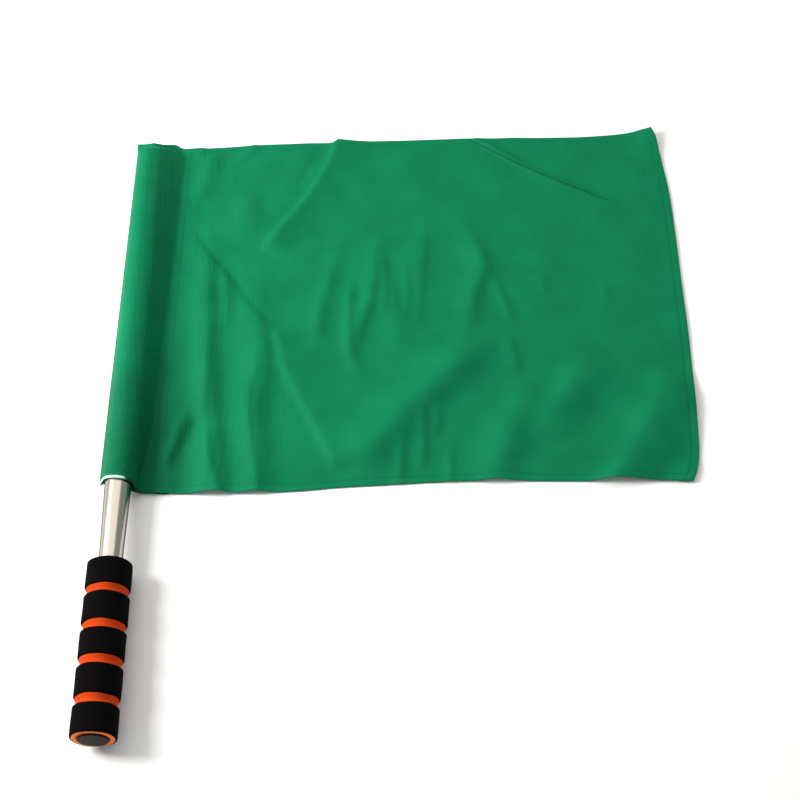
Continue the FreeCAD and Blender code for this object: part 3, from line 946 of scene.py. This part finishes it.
part_numbers, shares, overs = columns.T[:, None]
middle = sheet(part_numbers.astype(int), shares, overs, rows[:, None])[0]
column_steps = np.linalg.norm(np.diff(middle, axis=1), axis=-1)
cut_u = np.pad(np.cumsum(column_steps, axis=1), ((0, 0), (1, 0)))
at_fly = np.flatnonzero((columns[:, 1] == 1) & (columns[:, 2] == 0))[-1]
cut_u += flag_width * mm - cut_u[:, [at_fly]]  # so that it reads as u on the laid cloth
cut_places = np.stack(np.broadcast_arrays(cut_u, -rows[:, None] * mm), -1)
cloth = mesh_object("green_cloth", middle.reshape(-1, 3),
                    grid_faces(len(rows), len(columns)), cut_places.reshape(-1, 2))
solid = cloth.modifiers.new("thickness", "SOLIDIFY")
solid.thickness = thickness * mm
solid.offset = 0
print("cut size", round(np.ptp(cut_u, axis=1).mean() / mm), "by", round(np.ptp(rows)), "mm")
print("lowest", round(middle[..., 2].min() / mm, 2), "highest", round(middle[..., 2].max() / mm, 2))

# %% [markdown]
# ## Stitches
#
# A sewn line is a row of short stitches of one thread, each a small arch that dips into the cloth
# at both ends. Each stitch here is a bent capsule of a few dozen faces, and all the stitches of a
# line are one mesh.

# %% Stitch rows
stitch_pitch, stitch_length, thread_radius = 3.0, 2.5, 0.17
stitch_arch, stitch_sink = 0.22, 0.05  # how high the thread rises, and how deep its ends lie
stitch_rings, stitch_sides = 7, 6


def reached_along(places):
    """How far each place lies along the line through all of them."""
    return np.concatenate([[0], np.cumsum(np.linalg.norm(np.diff(places, axis=0), axis=-1))])


def read_off(at, reached, values):
    """The values, given at distances along a line, at other distances."""
    return np.stack([np.interp(at, reached, values[:, i]) for i in range(3)], -1)


def unit(vectors):
    """Each vector over its length."""
    return vectors / np.linalg.norm(vectors, axis=-1, keepdims=True)


def stitch_row(name, places, normals):
    """Bent capsules along a line: the arch goes as 1 - x^2, the radius as the root of 1 - x^4."""
    reached = reached_along(places)
    count = int(reached[-1] / (stitch_pitch * mm))
    centre = (np.arange(count) + 0.5) * reached[-1] / count
    x = np.linspace(-1, 1, stitch_rings)
    at = centre[:, None] + x * stitch_length * mm / 2
    line, normal = read_off(at, reached, places), unit(read_off(at, reached, normals))
    ahead = unit(line[:, -1] - line[:, 0])[:, None, :]
    side = np.cross(np.broadcast_to(ahead, normal.shape), normal)
    arch = (thickness / 2 + stitch_arch * (1 - x ** 2) - stitch_sink) * mm
    spine = line + normal * arch[:, None]
    radius = thread_radius * mm * np.sqrt(1 - np.abs(x) ** 4)
    angle = np.linspace(0, 2 * np.pi, stitch_sides, endpoint=False)[:, None]
    around = side[:, :, None] * np.cos(angle) + normal[:, :, None] * np.sin(angle)
    points = spine[:, :, None] + around * radius[:, None, None]
    one = grid_faces(stitch_rings, stitch_sides, wrap_columns=True)
    faces = one[None] + (np.arange(count) * stitch_rings * stitch_sides)[:, None, None]
    return close_mesh(mesh_object(name, points.reshape(-1, 3), faces.reshape(-1, 4)))


def on_panel_line(u, v):
    """Places and normals of the laid cloth at u and v before its edges are bowed."""
    u, v = np.broadcast_arrays(u, v)
    rounds = sleeve_rounds(v)
    return sheet(panel, panel_share(u, *slope_run(rounds, tangent_angle(rounds, 0))), 0.0, v)


def round_sleeve(parts, panel_end, steps, panel_steps, v):
    """Part numbers, places and normals at v, over whole parts and on to a share of the panel."""
    pairs = [(part, share) for part in parts for share in np.linspace(0, 1, steps, endpoint=False)]
    pairs += [(panel, share) for share in np.linspace(0, panel_end, panel_steps)]
    numbers, shares = np.array(pairs).T
    return (numbers, *sheet(numbers.astype(int), shares, 0.0, np.full(len(pairs), v)))


first_v, last_v, last_u = stitch_inset, flag_drop - stitch_inset, flag_width - stitch_inset
line_u, line_v = np.linspace(seam_place, last_u, 500), np.linspace(first_v, last_v, 400)
top_stitches = stitch_row("top_hem_stitches", *on_panel_line(line_u, first_v))
bottom_stitches = stitch_row("bottom_hem_stitches", *on_panel_line(line_u, last_v))
fly_stitches = stitch_row("fly_hem_stitches", *on_panel_line(last_u, line_v))
seam_stitches = stitch_row("sleeve_seam_stitches", *on_panel_line(seam_place, line_v))
over_tube_end = round_sleeve((tube_rise, tube_bend), slope_share, 20, 40, first_v)
end_stitches = stitch_row("sleeve_end_stitches", *over_tube_end[1:])

# %% [markdown]
# ## The bound mouth
#
# The sleeve's lower edge is bound with a pale thread that goes over and over it. That is a flat
# band round the edge whose thickness rises and falls with each turn of the thread.

# %% Mouth binding
wrap_pitch, binding_half_width, binding_half_depth = 0.9, 1.1, 0.5
wrap_depth, wrap_lean = 0.18, 0.35  # the grooves' depth as a share, and their slant in wraps
wrap_rings, binding_sides = 6, 12
binding_end = 0.058  # the share of the panel where the binding ends, at the slope's foot
end_power = 60  # how abruptly the binding closes at its two ends


def binding_band(name):
    """An ellipse carried round the mouth: its size goes as 1 - depth * (1 - |sin| of the way)."""
    parts, edge, normal = round_sleeve(
        (underside, heel_bend, fold_rise_part, fold_bend, tube_rise, tube_bend),
        binding_end, 60, 60, flag_drop,
    )
    reached = reached_along(edge)
    count = int(reached[-1] / mm / wrap_pitch * wrap_rings)
    at = np.linspace(0, reached[-1], count)
    across_rim = np.interp(at, reached, (edge[:, 0] - corner.x) * (parts > heel_bend))
    edge, normal = read_off(at, reached, edge), unit(read_off(at, reached, normal))
    angle = np.linspace(0, 2 * np.pi, binding_sides, endpoint=False)[None, :]
    wraps = at[:, None] / mm / wrap_pitch + wrap_lean * np.sin(angle)
    swell = 1 - wrap_depth * (1 - np.abs(np.sin(np.pi * wraps)))
    ends = np.sqrt(np.clip(1 - np.abs(np.linspace(-1, 1, count)) ** end_power, 0, 1))[:, None]
    down = binding_half_width * mm * swell * ends * np.cos(angle)
    out = binding_half_depth * mm * swell * ends * np.sin(angle)
    points = edge[:, None] + flag_direction(0, 1, 0) * down[..., None]
    points += normal[:, None] * out[..., None]
    faces = grid_faces(count, binding_sides, wrap_columns=True)
    places = np.stack([np.repeat(across_rim, binding_sides), np.zeros(count * binding_sides)], -1)
    return close_mesh(mesh_object(name, points.reshape(-1, 3), faces, places))


binding = binding_band("mouth_edge_binding")

# %% [markdown]
# ## Cloth and thread
#
# The flag is a light plain-woven nylon, dyed a deep bluish green. Its yarns are smooth, so a slope
# that faces the light picks up a pale sheen, and the dye looks a little uneven over the cloth. The
# weave is finer than the picture can show, so it is drawn a few times coarser.

# %% Cloth material
yarn_pitch, fuzz_size = 0.9, 1.6  # millimetres; real yarns are about 0.2 mm apart
dye_patch, wrinkle_breadth, wrinkle_run = 30.0, 2.5, 50.0
wrinkled_to, smooth_from, smooth_share = 60.0, 140.0, 0.25  # across, from the folded edge
# the sharp packing crease at the top right is v = slope t - bend t squared, in metres, where t is
# u past its start. It fades out between its two ends, is raised along its edge, and a grey line
# of painted shade darkens the dye along it
crease_start, crease_slope, crease_bend, crease_ends = 0.261, 0.838, 2.0, (0.085, 0.105)
crease_shade_reach, crease_edge, crease_rise = 4.0, 1.6, 1.3
mouth_dark_start, mouth_dark_full, mouth_dark_inner, mouth_dark_outer = 170.0, 255.0, 42.0, 62.0
fuzz_rise = 1.2
green_nylon, tree, surface = new_material("woven_green_nylon", {
    "Roughness": 0.65, "IOR": 1.5, "Specular IOR Level": 0.05,
    "Sheen Weight": 0.02, "Sheen Roughness": 0.4, "Sheen Tint": linear("5FE0A8"),
})
cut = node(tree, "UVMap", uv_map="cut").outputs[0]
cut_axes = node(tree, "SeparateXYZ", {0: cut})
from_fold, from_top = cut_axes.outputs[0], calculate(tree, "MULTIPLY", cut_axes.outputs[1], -1.0)


def darkened_by(tree, amount, colour, darker_colour):
    """The colour times a darker colour, by an amount from 0 to 1."""
    return node(tree, "Mix", {0: amount, 6: colour, 7: darker_colour}, data_type="RGBA",
                blend_type="MULTIPLY").outputs[2]


dye = ramp(tree, noise(tree, cut, dye_patch * mm, 4.0), [(0.3, "086D48"), (0.7, "0A754E")])
past = calculate(tree, "SUBTRACT", from_fold, crease_start)
bent = calculate(tree, "MULTIPLY", calculate(tree, "MULTIPLY", past, past), crease_bend)
curve = calculate(tree, "SUBTRACT", calculate(tree, "MULTIPLY", past, crease_slope), bent)
below = calculate(tree, "SUBTRACT", from_top, curve)
on_crease = calculate(tree, "MULTIPLY", calculate(tree, "GREATER_THAN", past, 0.0),
                      ranged(tree, past, crease_ends[1], crease_ends[0]))
# painted shade: a grey line along the crease's curve darkens the dye
crease_shade = ramp(tree, ranged(tree, below, -crease_shade_reach * mm, crease_shade_reach * mm),
                  [(0.3, "FFFFFF"), (0.46, "C6C6C6"), (0.56, "FFFFFF")])
# the sleeve's dye is darker towards its mouth
near_mouth = ranged(tree, from_top, mouth_dark_start * mm, mouth_dark_full * mm, way="SMOOTHSTEP")
on_sleeve = ranged(tree, from_fold, mouth_dark_outer * mm, mouth_dark_inner * mm)
darkened_dye = darkened_by(tree, calculate(tree, "MULTIPLY", near_mouth, on_sleeve),
                 darkened_by(tree, on_crease, dye, crease_shade), linear("E2E0E0"))
tree.links.new(darkened_dye, surface.inputs["Base Color"])

# fine wrinkles along the sleeve, dying out over the laid cloth, and the packing crease's edge
drawn = node(tree, "Mapping", {
    "Vector": cut, "Scale": (wrinkle_breadth * mm, wrinkle_run * mm, 1.0),
}, vector_type="TEXTURE")
dying_out = ranged(tree, from_fold, wrinkled_to * mm, smooth_from * mm, 1.0, smooth_share)
wrinkles = calculate(tree, "MULTIPLY", noise(tree, drawn.outputs[0], 1.0, 2.0), dying_out)
off_crease = calculate(tree, "ABSOLUTE", below)
creased = calculate(tree, "MULTIPLY", on_crease,
                    ranged(tree, off_crease, 0.0, crease_edge * mm, 1.0, 0.0, "SMOOTHSTEP"))
wrinkled = calculate(tree, "MULTIPLY_ADD", creased, crease_rise, wrinkles)
roughen(tree, surface, wrinkled, strength=0.5, depth=0.6)
# the weave: a wave along each yarn's way, times each other, and the yarns' fuzz
waves = [calculate(tree, "SINE", calculate(tree, "MULTIPLY", way, 2 * math.pi / (yarn_pitch * mm)))
         for way in cut_axes.outputs[:2]]
weave = calculate(tree, "MULTIPLY", *waves)
fuzz = noise(tree, cut, fuzz_size * mm, 3.0)
fuzzed = calculate(tree, "MULTIPLY_ADD", fuzz, fuzz_rise, weave)
roughen(tree, surface, fuzzed, strength=0.4, depth=0.05)
cloth.data.materials.append(green_nylon)


thread_twist = 0.3  # millimetres


def thread_material(name, colour):
    """Twisted polyester thread: matt, with fine ridges across it."""
    material, tree, surface = new_material(name, {
        "Base Color": linear(colour), "Roughness": 0.6, "IOR": 1.5, "Specular IOR Level": 0.1,
    })
    ridges = noise(tree, own_place(tree), thread_twist * mm, 2.0)
    roughen(tree, surface, ridges, strength=0.4, depth=0.05)
    return material


pale_thread = thread_material("twisted_pale_thread", "B9E3D0")
rim_shade_start, rim_shade_end = 15.5, 18.5  # from here on the rim turns away from the light, and its darker colour is painted shade
tree = pale_thread.node_tree
across_rim = node(tree, "SeparateXYZ", {0: node(tree, "UVMap", uv_map="cut").outputs[0]}).outputs[0]
painted_rim_shade = ranged(tree, across_rim, rim_shade_start * mm, rim_shade_end * mm)
# painted shade: the pale thread goes to dark green where the rim faces away from the light
tree.links.new(ramp(tree, painted_rim_shade, [(0.0, "B9E3D0"), (0.5, "3C5A4A"), (1.0, "0F3A28")]),
               tree.nodes["Principled BSDF"].inputs["Base Color"])
green_thread = thread_material("twisted_green_thread", "087B4F")
stitch_rows = (top_stitches, bottom_stitches, fly_stitches, seam_stitches, end_stitches)
for piece in stitch_rows:
    piece.data.materials.append(green_thread)
binding.data.materials.append(pale_thread)

# %% [markdown]
# ## Bodies and nodes
#
# Every piece rides on a body: the pole with its grip on one, the flag on the other. Each piece
# stands for one node of the imported model, whose own mesh is hidden.

# %% Rides
pole_pieces = {
    "pole_tube": (tube, "stainless_tube"),
    "top_plug": (top_plug, "plug_plastic"),
    "butt_plug": (butt_plug, "plug_plastic"),
    "grip_core": (core, "orange_foam"),
}
for number, band in enumerate(bands, 1):
    pole_pieces["grip_ring_%d" % number] = (band, "black_foam")
flag_pieces = {
    "flag_cloth": (cloth, "green_cloth"),
    "sleeve_seam_thread": (seam_stitches, "green_thread"),
    "sleeve_end_thread": (end_stitches, "green_thread"),
    "top_hem_thread": (top_stitches, "green_thread"),
    "bottom_hem_thread": (bottom_stitches, "green_thread"),
    "fly_hem_thread": (fly_stitches, "green_thread"),
    "mouth_binding": (binding, "pale_thread"),
}
for body, pieces in (("pole", pole_pieces), ("flag", flag_pieces)):
    for replaced, (piece, slot) in pieces.items():
        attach(piece, body)
        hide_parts(replaced)

# %% [markdown]
# ## Floor and light
#
# The photograph is lit from the left over a white table, with weak light from all round. A small
# key light there gives the folds their bright and dark sides and throws the dark strip beside the
# sleeve. It stands where the tube doesn't mirror it to the camera, as the tube's left half would
# burn out otherwise. A broad light behind the flag, like a window, shows in the tube as a long pale
# band, fills the shades, and leaves the cloth's lower right darker than its upper left.

# %% Floor and lights
def stage_floor(reach):
    """A pale square plane under everything."""
    corners = [(x * reach, y * reach, 0.0) for x, y in ((-1, -1), (1, -1), (1, 1), (-1, 1))]
    floor = mesh_object("floor", np.array(corners), np.array([[0, 1, 2, 3]]))
    board = new_material("matt_white_board", {
        "Base Color": linear("FAFAFA"), "Roughness": 0.9, "Specular IOR Level": 0.1,
    })[0]
    floor.data.materials.append(board)


def area_light(name, place, aim, sides, power, colour):
    """A light, level along its first side, that faces from its place to a point near the table."""
    data = bpy.data.lights.new(name, "AREA")
    data.energy, data.color = power, linear(colour)[:3]
    data.shape, (data.size, data.size_y) = "RECTANGLE", sides
    light = bpy.data.objects.new(name, data)
    facing = (Vector(place) - Vector(aim)).to_track_quat("Z", "Y").to_matrix().to_4x4()
    light.matrix_world = Matrix.Translation(place) @ facing
    bpy.context.scene.collection.objects.link(light)


stage_floor(reach=6.0)
area_light("key", place=(-1.0, 0.06, 0.69), aim=(0, 0, 0), sides=(0.35, 0.6),
           power=18.8, colour="FFFDFA")
area_light("window", place=(-0.42, 0.62, 1.05), aim=(-0.36, -0.1, 0), sides=(2.2, 1.2),
           power=11.3, colour="FFFBF3")
world = bpy.data.worlds.new("soft_room")
bpy.context.scene.world = world
world.use_nodes = True
sky = world.node_tree.nodes["Background"].inputs
sky["Color"].default_value, sky["Strength"].default_value = linear("F6F8FA"), 0.42
bpy.context.scene.view_settings.view_transform = "Standard"
